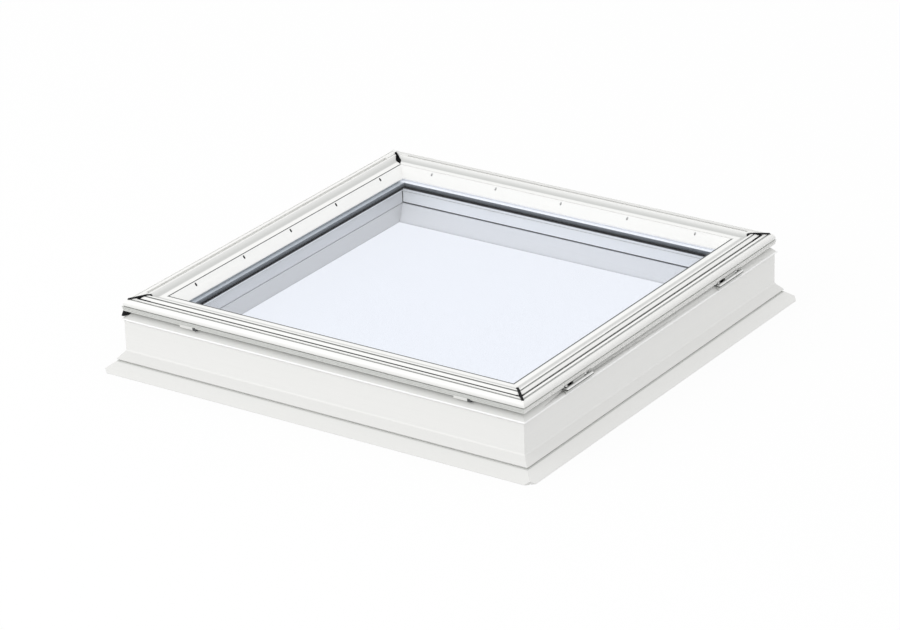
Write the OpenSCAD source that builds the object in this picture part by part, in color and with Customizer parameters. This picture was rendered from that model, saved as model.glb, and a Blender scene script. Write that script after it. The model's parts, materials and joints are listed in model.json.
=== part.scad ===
// Square flat-roof skylight: a chambered kerb with a sloping skirt, and a hinged sash with an insulating
// glass unit. Millimetres, +Z up, origin at the middle of the underside. Sections are drawn in (inset,
// height): inset runs inwards from the kerb's outer wall, height runs up from the roof.

/* [Kerb] */
// Outer width over the kerb's walls
kerb_w = 1100; // [900:10:1300]
// Height of the rim above the roof
rim_z = 127.5; // [120:0.5:136]
// Width of the slope that rises at 45 degrees from the rim
slope_run = 16.5; // [14:0.5:17.5]
// Thickness of the kerb at its upright reveal
kerb_t = 86.4; // [80:0.2:92]
// Thickness of the kerb at its foot
foot_t = 45; // [40:1:55]
// Height of the lining groove in the reveal
reveal_z = 75; // [68:0.5:80]
// Width of the lining groove
lining_groove = 2.6; // [2:0.2:4]
// Thickness of the reveal boards
board_t = 3; // [2:0.25:4]
// Width of the open joint between reveal boards
board_joint = 2.4; // [1.5:0.1:3]
// Drop from the rim to the rebate inside the kerb's top
rebate_drop = 19.5; // [17:0.5:22]
// Thickness of the kerb's raised top, from wall to rebate
top_t = 44; // [42:0.5:45]
// Wall thickness of the kerb profile
kerb_wall = 3; // [2.5:0.25:4]
// Overhang of the rim beyond the wall
rim_out = 4.5; // [3:0.5:6]
// Height of the rim's underside slope
rim_h = 5.5; // [4:0.5:8]
// Height of the crease where the wall begins to flare
crease_z = 46; // [42:0.5:50]
// Reach of the flare beyond the wall
flare_out = 16.2; // [14:0.2:20]

/* [Skirt] */
// Reach of the skirt beyond the wall
skirt_out = 44.2; // [38:0.2:55]
// Height of the skirt's upper edge
skirt_h = 24.5; // [22:0.5:26]
// Thickness of the skirt
skirt_t = 4; // [3:0.25:5]
// Width of the cut across each corner of the skirt, along each side
corner_cut = 18; // [10:1:26]
// Width of the shadow groove over the skirt
shadow_groove = 3; // [2:0.25:4]
// Depth of the shadow groove
shadow_depth = 4.2; // [3:0.2:5]

/* [Sash] */
// Height of the sash's lower edge above the rim
gap_h = 20.5; // [20:0.5:23]
// Overhang of the sash beyond the kerb's wall
sash_out = 2.8; // [2:0.2:3.4]
// Lean of the ribbed outer face, inwards at its foot
face_lean = 2; // [0:0.25:2.5]
// Height of the sash from its lower edge to its ridge
sash_h = 32.4; // [31:0.2:35]
// Depth of the drip lip along the sash's lower edge
drip_lip = 2; // [1.5:0.25:2.5]
// Height of the ribbed outer face
rib_face = 11; // [10:0.25:12]
// Radius of the rounded shoulder
shoulder_r = 12; // [10:0.5:12.5]
// Drop from the ridge to the flat behind the shoulder
flat_drop = 4.8; // [4:0.2:6]
// Drop from the ridge to the inner lip
lip_drop = 7.5; // [6:0.25:8.5]
// Inset of the sash's inner edge
lip_s = 73.2; // [71:0.2:76]
// Width of the flat inner lip
lip_w = 15.7; // [13:0.1:17]
// Inset of the ridge's outer edge
ridge_s = 36.6; // [35.6:0.1:37.4]
// Width of the ridge
ridge_w = 5; // [4:0.25:6]
// Width of the deep groove
deep_w = 5.2; // [4.5:0.1:5.6]
// Distance from the ridge out to the deep groove's far edge
deep_in = 17; // [12:0.2:19]
// Depth of the deep groove below the flat
deep_d = 9; // [6:0.25:10]
// Width of the fine grooves
fine_w = 2.6; // [2:0.1:2.8]
// Depth of the fine grooves
fine_d = 4; // [3:0.1:5]
// Undercut of the grooves
undercut = 1.2; // [0.6:0.1:1.6]
// Wall thickness of the sash profile
sash_wall = 3; // [2.5:0.25:3.25]
// Free space between the sash and the kerb's raised top
rebate_clear = 4; // [3.5:0.5:5]
// Free height between the sash and the rebate
rebate_gap = 4; // [3:0.5:5]
// Width of the mitre seals
mitre_seal_t = 5.5; // [4:0.25:7]

/* [Glazing] */
// Thickness of each pane
pane_t = 4; // [3:0.5:5]
// Space between the panes
cavity = 12; // [10:1:14]
// Height of the glazing bead
bead_h = 26.4; // [24:0.2:28]
// Width of the glazing bead
bead_w = 22; // [20:0.5:24]
// Height of the bead at its toe
bead_toe = 1.2; // [0.8:0.1:2]
// Width of the open joint between sash and bead
bead_joint = 2.2; // [1.2:0.1:2.6]
// Depth of the open joint between sash and bead
joint_depth = 9; // [6:0.5:12]
// Thickness of the gasket under the bead
bead_gasket_t = 2; // [1.5:0.25:2.5]
// Thickness of the gasket under the glass
rest_gasket_t = 4; // [3:0.25:5]
// Free space round the edge of the glass unit
edge_clear = 6.8; // [5:0.2:8]
// Width of the glazing ledge under the glass
rest_w = 12; // [10:0.5:14]
// Width of the edge sealant
sealant_w = 25; // [20:0.5:27]
// Width of the spacer bar
spacer_w = 3; // [2:0.25:6]
// Inset of the cover's screw holes in the bead, from the sash's inner edge
hole_s = 7.2; // [6.6:0.1:8]
// Diameter of the cover's screw holes
hole_d = 4.5; // [3.5:0.1:5]
// Depth left under the cover's screw holes
hole_floor = 4; // [3:0.5:6]
// Spacing of the cover's screw holes
hole_pitch = 188.8; // [150:0.2:195]
// Length of each setting block
setting_l = 100; // [60:5:120]

/* [Hinges] */
// Distance of each hinge from the middle of its side
hinge_y = 332; // [280:2:360]
// Length of a hinge
hinge_l = 107; // [95:1:120]
// Length of each outer knuckle
knuckle_l = 30; // [26:0.5:34]
// Diameter of the knuckles
knuckle_d = 10; // [9:0.25:10.5]
// Diameter of the hinge pin
pin_d = 5; // [4:0.25:5.5]
// Distance of the hinge axis outside the kerb's wall
axis_out = 4; // [3.5:0.25:5]
// Height of the hinge axis above the rim
axis_h = 12.5; // [12:0.25:13.5]
// Thickness of the hinge leaves
leaf_t = 2.5; // [2:0.25:3]
// Width of the hinge leaf on the kerb's slope
kerb_leaf_w = 20; // [18.5:0.25:20]
// Width of the hinge leaf under the sash
sash_leaf_w = 26; // [22:1:29]
// Diameter of the hinge screws
screw_d = 4; // [3:0.25:5]
// Length of the hinge screws under the head
screw_l = 14; // [10:1:18]
// Play along the pin between knuckles
knuckle_play = 0.5; // [0.3:0.1:1]
// Radial clearance of the pin in the moving knuckle
pin_clear = 0.05; // [0.02:0.01:0.09]

/* [Guides and buffers] */
// Distance of the guide blocks from the middle of their side
block_x = 376.5; // [300:1.5:400]
// Offset that both blocks share along their side
block_shift = 7.5; // [0:0.5:12]
// Length of a guide block
block_l = 36; // [28:1:44]
// Depth of a guide block
block_d = 9; // [7:0.5:10]
// Height of a guide block
block_h = 6.5; // [5:0.25:8]
// Length of the rubber buffer beside each guide block
buffer_l = 9; // [6:0.5:12]
// Height of the rubber buffer beside each guide block
buffer_h = 8; // [6:0.25:9]
// Thickness of the corner wedges
wedge_t = 8; // [5:0.5:12]
// Inset that the corner wedges reach
wedge_s = 9.5; // [6:0.5:11]
// Width of a corner wedge's seat on the slope
wedge_seat = 4; // [2:0.5:9]
// Height of a corner wedge's nose above the rim
wedge_lift = 8; // [2:0.5:14]
// Place of the packer along the front side
packer_x = -129; // [-200:1:100]
// Length of the packer
packer_l = 56; // [40:1:70]
// Free space between soft pieces and what they meet
soft_clear = 0.3; // [0.2:0.05:0.5]

/* [Hidden] */
$fn = 48;
overcut = 1;

// Turns that carry a front piece to each side: front, right, back, left
FRONT = 0;
RIGHT = 90;
BACK = 180;
LEFT = 270;
TURNS = [FRONT, RIGHT, BACK, LEFT];

// Colours as the photograph shows them
WHITE = [0.95, 0.95, 0.94];
BLACK = [0.06, 0.06, 0.07];
STEEL = [0.75, 0.76, 0.78];
GREY = [0.8, 0.81, 0.82];
GLASS = [0.86, 0.91, 0.98, 0.4];

half_w = kerb_w / 2;
reach = half_w + skirt_out + overcut;

// Heights of the kerb
foot_s = shadow_depth - flare_out;
lip_under_z = skirt_h + shadow_groove;
rim_nose = 1.5;
slope_s = slope_run - rim_out;
top_z = rim_z + slope_run;
rebate_z = rim_z - rebate_drop;
board_z = reveal_z + lining_groove;
board_s = kerb_t - board_t;

// Heights and insets of the sash
sash_z = rim_z + gap_h;
recess_z = sash_z + drip_lip;
drip_s = 1.5;
inner_wall_s = top_t + rebate_clear;
ridge_z = sash_z + sash_h;
flat_z = ridge_z - flat_drop;
lip_z = ridge_z - lip_drop;
seam_z = sash_z + rib_face;
deep_s = ridge_s - deep_in;
cove_s = lip_s - lip_w;
ridge_end_s = ridge_s + ridge_w;
under_z = rebate_z + rebate_gap;

// Glass unit
bead_top_z = lip_z - 0.3;
bead_z = bead_top_z - bead_h;
bead_crest = 0.5;
toe_s = lip_s + bead_w;
glass_top_z = bead_z - bead_gasket_t;
upper_z = glass_top_z - pane_t;
spacer_z = upper_z - cavity;
glass_z = spacer_z - pane_t;
rest_z = glass_z - rest_gasket_t;
glass_s = lip_s + edge_clear;
rest_s = glass_s + rest_w;
spacer_s = glass_s + sealant_w;
sight_s = spacer_s + spacer_w;

// Hinges
axis_z = rim_z + axis_h;
knuckle_r = knuckle_d / 2;
pin_r = pin_d / 2;
screw_r = screw_d / 2;
head_r = screw_r + 1.8;
head_h = 2;
screw_clear = 0.1;
leaf_s = 4;
knuckle_web_s = 1;
sash_screw_s = leaf_s + sash_leaf_w * 0.55;
screw_step = hinge_l / 2 - 14;
pocket_play = 3;
middle_l = hinge_l - 2 * (knuckle_l + knuckle_play);
// Distance of the axis from the slope
axis_off = (axis_h - rim_out + axis_out) / sqrt(2);
kerb_leaf_start = 1.5;
kerb_screw_along = kerb_leaf_start + kerb_leaf_w - 4.5;

// Points of an arc, centre (cs, cz), from angle a to angle b
function arc(cs, cz, r, a, b, steps = 10) =
    [for (i = [0:steps]) let (t = a + (b - a) * i / steps) [cs + r * cos(t), cz + r * sin(t)]];

// A groove that opens upwards at inset s between heights z0 and z1, undercut on its inner side
function fine_groove(s, z0, z1) =
    [[s, z0], [s, z0 - fine_d], [s + fine_w + undercut, z0 - fine_d],
     [s + fine_w + undercut, z0 - 1], [s + fine_w, z0 - 1], [s + fine_w, z1]];

// Inset of the leaning ribbed face at height h above its foot
function face_s(h) = face_lean * (1 - h / rib_face) - sash_out;

// A notch in the ribbed face from height h above its foot
function rib_notch(h) =
    [[face_s(h), sash_z + h], [face_s(h) + 1.6, sash_z + h + 0.3],
     [face_s(h) + 1.6, sash_z + h + 1.3], [face_s(h + 1.6), sash_z + h + 1.6]];

function kerb_outline() = [
    [foot_s, 0], [foot_s, lip_under_z], [-flare_out, lip_under_z], [-flare_out, lip_under_z + 1.5],
    [-1.5, crease_z], [0, crease_z + 4], [0, rim_z - rim_h],
    [-rim_out, rim_z - rim_nose], [-rim_out, rim_z], [slope_s, top_z], [top_t, top_z],
    [top_t, rebate_z], [board_s, rebate_z], [board_s, reveal_z], [kerb_t - 1, reveal_z], [foot_t, 0],
];

// Outer and inner chambers of the kerb, either side of the web under the raised top
function kerb_outer_chamber() =
    let (web_s = top_t - 3 * kerb_wall, roof = top_z - kerb_wall, drop = kerb_wall * sqrt(2))
    [
        [kerb_wall, 2 * kerb_wall], [web_s, 2 * kerb_wall], [web_s, roof],
        [slope_s - kerb_wall + drop, roof], [kerb_wall, rim_z + rim_out + kerb_wall - drop],
    ];
function kerb_inner_chamber() =
    let (web_s = top_t - 2 * kerb_wall, inner_s = board_s - kerb_wall, roof = rebate_z - kerb_wall)
    [
        [web_s, 2 * kerb_wall], [foot_t - kerb_wall / 2, 2 * kerb_wall],
        [inner_s, reveal_z + kerb_wall / 2], [inner_s, roof], [web_s, roof],
    ];

function skirt_outline() =
    let (run = skirt_out + foot_s, rise = skirt_h - skirt_t / 3, slant = skirt_t * norm([run, rise]) / rise)
    [
        [-skirt_out, 0], [-skirt_out, skirt_t / 3], [foot_s - skirt_t, skirt_h - skirt_t / 4],
        [foot_s - skirt_t / 2, skirt_h], [foot_s, skirt_h], [foot_s, skirt_h - skirt_t],
        [slant - skirt_out, 0],
    ];

function cove_outline() =
    let (run = cove_s - ridge_end_s, drop = ridge_z - lip_z - 0.8,
         r = (run * run + drop * drop) / (2 * drop), turn = asin(run / r))
    arc(cove_s, lip_z + r, r, -90 - turn, -90, 8);

function sash_outline() = concat(
    [[drip_s, recess_z], [drip_s, sash_z], [face_s(0), sash_z]],
    rib_notch(2.8), rib_notch(6.8),
    [[face_s(rib_face), seam_z], [1, seam_z + 0.3], [1, seam_z + 1.7], [-1, seam_z + 2]],
    arc(shoulder_r - 1, flat_z - 0.2 - shoulder_r, shoulder_r, 180, 97),
    fine_groove(shoulder_r - 2.3, flat_z - 0.2, flat_z),
    [[deep_s - 0.8, flat_z], [deep_s, flat_z - 0.8], [deep_s, flat_z - deep_d]],
    [[deep_s + deep_w + undercut, flat_z - deep_d], [deep_s + deep_w + undercut, flat_z - 3]],
    [[deep_s + deep_w, flat_z - 3], [deep_s + deep_w, flat_z - 1.6]],
    fine_groove(ridge_s - fine_w - 0.4, ridge_z - 1, ridge_z - 0.5),
    [[ridge_s + 0.6, ridge_z], [ridge_end_s - 0.8, ridge_z]],
    cove_outline(),
    [[lip_s, lip_z], [lip_s, rest_z], [rest_s, rest_z], [rest_s, under_z]],
    [[inner_wall_s, under_z], [inner_wall_s, recess_z]]
);

// Chamber over the recess, and chamber beside the glass
function sash_outer_chamber() = [
    [sash_wall, recess_z + sash_wall], [inner_wall_s, recess_z + sash_wall],
    [inner_wall_s, flat_z - deep_d - sash_wall], [sash_wall, flat_z - deep_d - sash_wall],
];
function sash_inner_chamber() = [
    [inner_wall_s + sash_wall, rest_z], [lip_s - sash_wall, rest_z],
    [lip_s - sash_wall, lip_z - sash_wall], [inner_wall_s + sash_wall, lip_z - sash_wall],
];

function bead_outline() = [
    [lip_s, bead_z], [lip_s, bead_top_z - joint_depth - 1],
    [lip_s + bead_joint, bead_top_z - joint_depth], [lip_s + bead_joint, bead_top_z],
    [lip_s + bead_joint + bead_crest, bead_top_z], [toe_s, bead_z + bead_toe], [toe_s, bead_z],
];

// Upper edge stands a little proud of the sash's top, lower edge lies in the slot cut for the seal
function mitre_seal_outline() =
    let (proud = 1.2, root_z = flat_z - deep_d - 1, end_s = ridge_end_s + 7)
    [
        [shoulder_r - 4.5, flat_z - 1], [shoulder_r - 3, flat_z + proud],
        [ridge_s - 3.4, ridge_z + proud / 2], [ridge_s, ridge_z + proud], [end_s - 2, ridge_z + proud],
        [end_s, ridge_z - 1], [end_s, lip_z - 2.4], [shoulder_r - 4.5, root_z],
    ];

// A wedge in the gap between the slope and the sash, with a nose that stands out over the rim
function wedge_outline() =
    let (slope_0 = rim_z + rim_out, seat_s = wedge_s - wedge_seat)
    [
        [0.5 - rim_out, rim_z + wedge_lift], [seat_s, slope_0 + seat_s], [wedge_s, slope_0 + wedge_s],
        [wedge_s, slope_0 + wedge_s + 1.6], [-1, sash_z - soft_clear],
    ];

// A bar along X with its section at the front side, as long as the skylight is wide
module bar(outline, chambers = []) {
    translate([0, -half_w, 0]) rotate([90, 0, 90]) linear_extrude(height = 2 * reach, center = true)
        difference() {
            polygon(outline);
            for (chamber = chambers) polygon(chamber);
        }
}

// Plan of one side between its two mitres
module mitre_plan() {
    translate([0, 0, -overcut]) linear_extrude(height = ridge_z + 10 * overcut)
        polygon([[0, 0], [-reach, -reach], [reach, -reach]]);
}

module mitred(outline, chambers = []) {
    intersection() {
        bar(outline, chambers);
        mitre_plan();
    }
}

// A square ring between two insets
module ring(outer_s, inner_s, z, h) {
    translate([0, 0, z]) linear_extrude(height = h) difference() {
        square(kerb_w - 2 * outer_s, center = true);
        square(kerb_w - 2 * inner_s, center = true);
    }
}

// A block at the front side: middle x, inset range, height range, length along the side
module side_block(x, s0, s1, z0, z1, l) {
    translate([x - l / 2, s0 - half_w, z0]) cube([l, s1 - s0, z1 - z0]);
}

module screw(r, l) {
    cylinder(r = r, h = l);
    translate([0, 0, -head_h]) cylinder(r = head_r, h = head_h);
}

// Kerb

module kerb_bar() {
    color(WHITE) mitred(kerb_outline(), [kerb_outer_chamber(), kerb_inner_chamber()]);
}

// The slope's own frame at the hinge side: X along the side, Y up the slope, Z off it
module on_slope() {
    translate([0, -half_w - rim_out, rim_z]) rotate([45, 0, 0]) children();
}

// Places of the three screws of a hinge along its length
module at_screws() {
    for (step = [-1, 0, 1]) translate([step * screw_step, 0, 0]) children();
}

module at_both_hinges() {
    for (side = [-1, 1]) translate([side * hinge_y, 0, 0]) children();
}

module kerb_front() rotate(FRONT) kerb_bar();
module kerb_back() rotate(BACK) kerb_bar();
module kerb_left() rotate(LEFT) kerb_bar();
module kerb_right() {
    color(WHITE) rotate(RIGHT) difference() {
        kerb_bar();
        at_both_hinges() at_screws() on_slope() translate([0, kerb_screw_along, -2 * kerb_wall])
            cylinder(r = screw_r + screw_clear, h = 2 * kerb_wall + overcut);
    }
}

module skirt_bar() {
    side = half_w + skirt_out;
    color(WHITE) intersection() {
        bar(skirt_outline());
        translate([0, 0, -overcut]) linear_extrude(height = skirt_h + 2 * overcut) polygon([
            [0, 0], [corner_cut / 2 - side, corner_cut / 2 - side],
            [corner_cut + overcut - side, -side - overcut], [side - corner_cut - overcut, -side - overcut],
            [side - corner_cut / 2, corner_cut / 2 - side],
        ]);
    }
}

module skirt_front() rotate(FRONT) skirt_bar();
module skirt_right() rotate(RIGHT) skirt_bar();
module skirt_back() rotate(BACK) skirt_bar();
module skirt_left() rotate(LEFT) skirt_bar();

// A plate that stands in the front-left mitre
module mitre_plate(t, outline) {
    translate([-half_w, -half_w, 0]) rotate([90, 0, 45]) linear_extrude(height = t, center = true)
        polygon([for (p = outline) [p[0] * sqrt(2), p[1]]]);
}

// Reveal boards, with a dark strip in each open corner joint

module reveal_board() {
    joint = [[0, 0], [2 * kerb_t, 0], [2 * kerb_t, rim_z], [0, rim_z]];
    color(WHITE) difference() {
        mitred([[board_s, board_z], [kerb_t, board_z], [kerb_t, rebate_z], [board_s, rebate_z]]);
        for (turn = [FRONT, RIGHT]) rotate(turn) mitre_plate(board_joint, joint);
    }
}

module reveal_board_front() rotate(FRONT) reveal_board();
module reveal_board_right() rotate(RIGHT) reveal_board();
module reveal_board_back() rotate(BACK) reveal_board();
module reveal_board_left() rotate(LEFT) reveal_board();

module reveal_joints() {
    strip_s = kerb_t - board_t / 3;
    color(BLACK) for (turn = TURNS) rotate(turn) intersection() {
        mitre_plate(board_joint, [[0, board_z], [strip_s, board_z], [strip_s, rebate_z], [0, rebate_z]]);
        translate([board_s - half_w, board_s - half_w, 0]) cube([half_w, half_w, rim_z]);
    }
}

// Bulb seals: a foot and a round top that stops just short of the sash

module bulb_seal(s, w, z0, z1) {
    r = w / 2;
    color(BLACK) for (turn = TURNS) rotate(turn) intersection() {
        translate([0, -half_w, 0]) rotate([90, 0, 90]) linear_extrude(height = 2 * reach, center = true) {
            translate([s - r, z0]) square([w, z1 - z0 - r]);
            translate([s, z1 - r]) circle(r = r);
        }
        mitre_plan();
    }
}

module weather_seal() bulb_seal(top_t - 3, 5, top_z, recess_z - soft_clear);
module rebate_seal() bulb_seal(inner_wall_s + 22, 3.6, rebate_z, under_z - soft_clear);

// Hinges, drawn at the front side and turned to the right

// Steps from the hinge's middle to its outer knuckles
function outer_knuckle_x() = [for (end = [-1, 1]) end * (hinge_l - knuckle_l) / 2];

module along_axis(l) {
    translate([0, -half_w - axis_out, axis_z]) rotate([0, 90, 0])
        linear_extrude(height = l, center = true) children();
}

module hinge_kerb_leaf() {
    color(STEEL) difference() {
        union() {
            on_slope() translate([-hinge_l / 2, kerb_leaf_start, 0]) cube([hinge_l, kerb_leaf_w, leaf_t]);
            for (x = outer_knuckle_x()) translate([x, 0, 0]) along_axis(knuckle_l) {
                circle(r = knuckle_r);
                rotate(45) translate([0, -0.8 * knuckle_r]) square([axis_off - leaf_t / 2, 1.4 * knuckle_r]);
            }
        }
        along_axis(hinge_l + overcut) circle(r = pin_r);
        at_screws() on_slope() translate([0, kerb_screw_along, -overcut])
            cylinder(r = screw_r + screw_clear, h = leaf_t + 2 * overcut);
    }
}

module hinge_sash_leaf() {
    color(STEEL) difference() {
        union() {
            side_block(0, leaf_s, leaf_s + sash_leaf_w, recess_z - leaf_t, recess_z, hinge_l);
            along_axis(middle_l) circle(r = knuckle_r);
            side_block(0, -axis_out, leaf_s + overcut, recess_z - leaf_t, recess_z, middle_l);
            side_block(0, -axis_out, knuckle_web_s, axis_z, recess_z, middle_l);
        }
        along_axis(hinge_l) circle(r = pin_r + pin_clear);
        at_screws() translate([0, sash_screw_s - half_w, recess_z - leaf_t - overcut])
            cylinder(r = screw_r + screw_clear, h = leaf_t + 2 * overcut);
    }
}

module hinge_pin() {
    pin_head = 1.5;
    color(STEEL) {
        along_axis(hinge_l) circle(r = pin_r);
        for (end = [-1, 1]) translate([end * (hinge_l + pin_head) / 2, 0, 0])
            along_axis(pin_head) circle(r = pin_r + 1);
    }
}

module at_hinge(side) rotate(RIGHT) translate([side * hinge_y, 0, 0]) children();

module hinge_kerb_leaf_front() at_hinge(-1) hinge_kerb_leaf();
module hinge_kerb_leaf_back() at_hinge(1) hinge_kerb_leaf();
module hinge_pin_front() at_hinge(-1) hinge_pin();
module hinge_pin_back() at_hinge(1) hinge_pin();
module hinge_sash_leaf_front() at_hinge(-1) hinge_sash_leaf();
module hinge_sash_leaf_back() at_hinge(1) hinge_sash_leaf();

module hinge_kerb_screws() {
    color(STEEL) rotate(RIGHT) at_both_hinges() at_screws() on_slope()
        translate([0, kerb_screw_along, leaf_t]) mirror([0, 0, 1]) screw(screw_r, screw_l);
}

module hinge_sash_screws() {
    color(STEEL) rotate(RIGHT) at_both_hinges() at_screws()
        translate([0, sash_screw_s - half_w, recess_z - leaf_t]) screw(screw_r, leaf_t + sash_wall + 3);
}

// Guide blocks on the front and back sides, and the buffers

block_mid = [-block_x, block_x];

module at_blocks() {
    for (turn = [FRONT, BACK], x = block_mid) rotate(turn) translate([x + block_shift, 0, 0]) children();
}

module guide_blocks() {
    color(WHITE) at_blocks() side_block(0, -1, block_d, recess_z - block_h, recess_z, block_l);
}

module guide_buffers() {
    color(BLACK) at_blocks() translate([(block_l + buffer_l) / 2, 0, 0])
        side_block(0, 0, block_d, recess_z - buffer_h, recess_z, buffer_l);
}

module corner_wedges() {
    stem = [[-2 * rim_out, 0], [top_t, 0], [top_t, sash_z], [-2 * rim_out, sash_z]];
    color(BLACK) for (corner = [FRONT, LEFT]) rotate(corner) intersection() {
        union() {
            mitred(wedge_outline());
            rotate(LEFT) mitred(wedge_outline());
        }
        mitre_plate(wedge_t, stem);
    }
}

module sash_packer() {
    packer_t = 4;
    color(WHITE) side_block(packer_x, block_d, top_t - 10, recess_z - packer_t, recess_z, packer_l);
}

// Sash

// A mitre seal stands in the front-left corner; tongue is its length along the deep groove each way
module mitre_seal(tongue) {
    color(BLACK) {
        mitre_plate(mitre_seal_t, mitre_seal_outline());
        for (flip = [0, 1]) mirror([flip, -flip, 0])
            translate([deep_s - half_w, deep_s - half_w, flat_z - deep_d]) cube([tongue, deep_w, deep_d]);
    }
}

long_tongue = 42;
short_tongue = 14;
module mitre_seal_left() rotate(FRONT) mitre_seal(long_tongue);
module mitre_seal_front() rotate(RIGHT) mitre_seal(short_tongue);
module mitre_seal_right() rotate(BACK) mitre_seal(long_tongue);
module mitre_seal_back() rotate(LEFT) mitre_seal(long_tongue);

module sash_bar() {
    difference() {
        mitred(sash_outline(), [sash_outer_chamber(), sash_inner_chamber()]);
        for (turn = [FRONT, RIGHT]) rotate(turn) mitre_plate(mitre_seal_t, mitre_seal_outline());
    }
}

// Cut in the drip lip for a fitting of length l at x
module lip_pocket(x, l) {
    side_block(x, -sash_out - overcut, leaf_s, sash_z - overcut, recess_z, l);
}

module sash_side_with_blocks() {
    color(WHITE) difference() {
        sash_bar();
        for (x = block_mid) lip_pocket(x + block_shift + buffer_l / 2, block_l + buffer_l);
    }
}

module sash_front() rotate(FRONT) sash_side_with_blocks();
module sash_back() rotate(BACK) sash_side_with_blocks();
module sash_left() color(WHITE) rotate(LEFT) sash_bar();
module sash_right() {
    color(WHITE) rotate(RIGHT) difference() {
        sash_bar();
        at_both_hinges() {
            lip_pocket(0, hinge_l + 2 * pocket_play);
            at_screws() translate([0, sash_screw_s - half_w, recess_z - overcut])
                cylinder(r = screw_r + screw_clear, h = sash_wall + 2 * overcut);
        }
    }
}

// Beads and glass

module bead_bar() {
    color(WHITE) difference() {
        mitred(bead_outline());
        for (i = [-2:2]) translate([i * hole_pitch, lip_s + hole_s - half_w, bead_z + hole_floor])
            cylinder(d = hole_d, h = bead_top_z - bead_z);
    }
}

module bead_front() rotate(FRONT) bead_bar();
module bead_right() rotate(RIGHT) bead_bar();
module bead_back() rotate(BACK) bead_bar();
module bead_left() rotate(LEFT) bead_bar();

module pane(z) {
    w = kerb_w - 2 * glass_s;
    color(GLASS) translate([-w / 2, -w / 2, z]) cube([w, w, pane_t]);
}

module glass_upper() pane(upper_z);
module glass_lower() pane(glass_z);
module spacer_bar() color(BLACK) ring(spacer_s, sight_s, spacer_z, cavity);
module edge_sealant() color(GREY) ring(glass_s, spacer_s, spacer_z, cavity);
module bead_gasket() color(BLACK) ring(toe_s - 9, toe_s - 0.4, glass_top_z, bead_gasket_t);
module rest_gasket() color(GREY) ring(glass_s + 2, rest_s - 1, rest_z, rest_gasket_t);

module setting_blocks() {
    spread = kerb_w / 4;
    color(BLACK) for (turn = TURNS, x = [-spread, spread]) rotate(turn)
        side_block(x, lip_s, glass_s, rest_z, glass_top_z, setting_l);
}

kerb_front();
kerb_right();
kerb_back();
kerb_left();
skirt_front();
skirt_right();
skirt_back();
skirt_left();
reveal_board_front();
reveal_board_right();
reveal_board_back();
reveal_board_left();
reveal_joints();
weather_seal();
rebate_seal();
hinge_kerb_leaf_front();
hinge_kerb_leaf_back();
hinge_pin_front();
hinge_pin_back();
hinge_kerb_screws();
corner_wedges();
sash_front();
sash_right();
sash_back();
sash_left();
mitre_seal_front();
mitre_seal_right();
mitre_seal_back();
mitre_seal_left();
bead_front();
bead_right();
bead_back();
bead_left();
glass_upper();
glass_lower();
spacer_bar();
edge_sealant();
bead_gasket();
rest_gasket();
setting_blocks();
hinge_sash_leaf_front();
hinge_sash_leaf_back();
hinge_sash_screws();
guide_blocks();
guide_buffers();
sash_packer();
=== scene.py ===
"""Dresses the flat-roof skylight: a white PVC-U kerb and a hinged sash round an insulating glass unit."""

from __future__ import annotations

import json
import logging
import math
from dataclasses import dataclass, field
from enum import Enum

import bmesh
import bpy
from mathutils import Matrix, Vector

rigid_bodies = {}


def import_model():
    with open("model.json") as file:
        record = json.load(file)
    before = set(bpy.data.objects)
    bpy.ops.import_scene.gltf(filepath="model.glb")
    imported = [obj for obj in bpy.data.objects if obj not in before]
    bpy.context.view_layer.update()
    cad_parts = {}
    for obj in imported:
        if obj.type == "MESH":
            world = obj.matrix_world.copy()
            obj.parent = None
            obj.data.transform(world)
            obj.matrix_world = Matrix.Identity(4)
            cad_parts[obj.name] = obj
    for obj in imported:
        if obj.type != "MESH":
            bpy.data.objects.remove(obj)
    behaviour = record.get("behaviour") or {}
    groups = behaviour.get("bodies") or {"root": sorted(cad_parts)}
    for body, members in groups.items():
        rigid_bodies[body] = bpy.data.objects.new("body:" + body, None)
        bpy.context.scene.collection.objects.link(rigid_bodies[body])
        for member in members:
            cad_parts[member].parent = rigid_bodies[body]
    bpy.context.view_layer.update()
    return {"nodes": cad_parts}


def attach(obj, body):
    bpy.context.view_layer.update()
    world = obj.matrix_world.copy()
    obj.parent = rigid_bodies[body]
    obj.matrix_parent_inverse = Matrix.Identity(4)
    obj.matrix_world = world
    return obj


LOG = logging.getLogger("skylight")
MM = 0.001
Colour = tuple[float, float, float, float]
Stops = tuple[tuple[float, float], ...]
Tree = bpy.types.NodeTree
Socket = bpy.types.NodeSocket

# Half of the width over the kerb's walls. An inset is counted inwards from there, square to the side
HALF_KERB_MM = 550.0
# Insets from the first to the last of these are spread over a colour ramp
RAMP_FROM_MM, RAMP_TO_MM = -10.0, 120.0
# Width of a crisp edge between two tones
CRISP_MM = 0.1
# Sockets of a Mix node that mixes colours
MIX_FACTOR, MIX_A, MIX_B, MIX_COLOUR = 0, 6, 7, 2
# Width of a die line or a rolling mark as a share of its length
MARK_SHARE = 0.02


class Run(Enum):
    """Direction in which a profile left the extruder, with the stretch of its die lines."""

    ALONG_X = (MARK_SHARE, 1.0, 1.0)
    ALONG_Y = (1.0, MARK_SHARE, 1.0)

    @property
    def across(self) -> str:
        """Axis across the profile."""
        return "Y" if self is Run.ALONG_X else "X"

    @property
    def along(self) -> str:
        """Axis along the profile."""
        return "X" if self is Run.ALONG_X else "Y"


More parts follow.
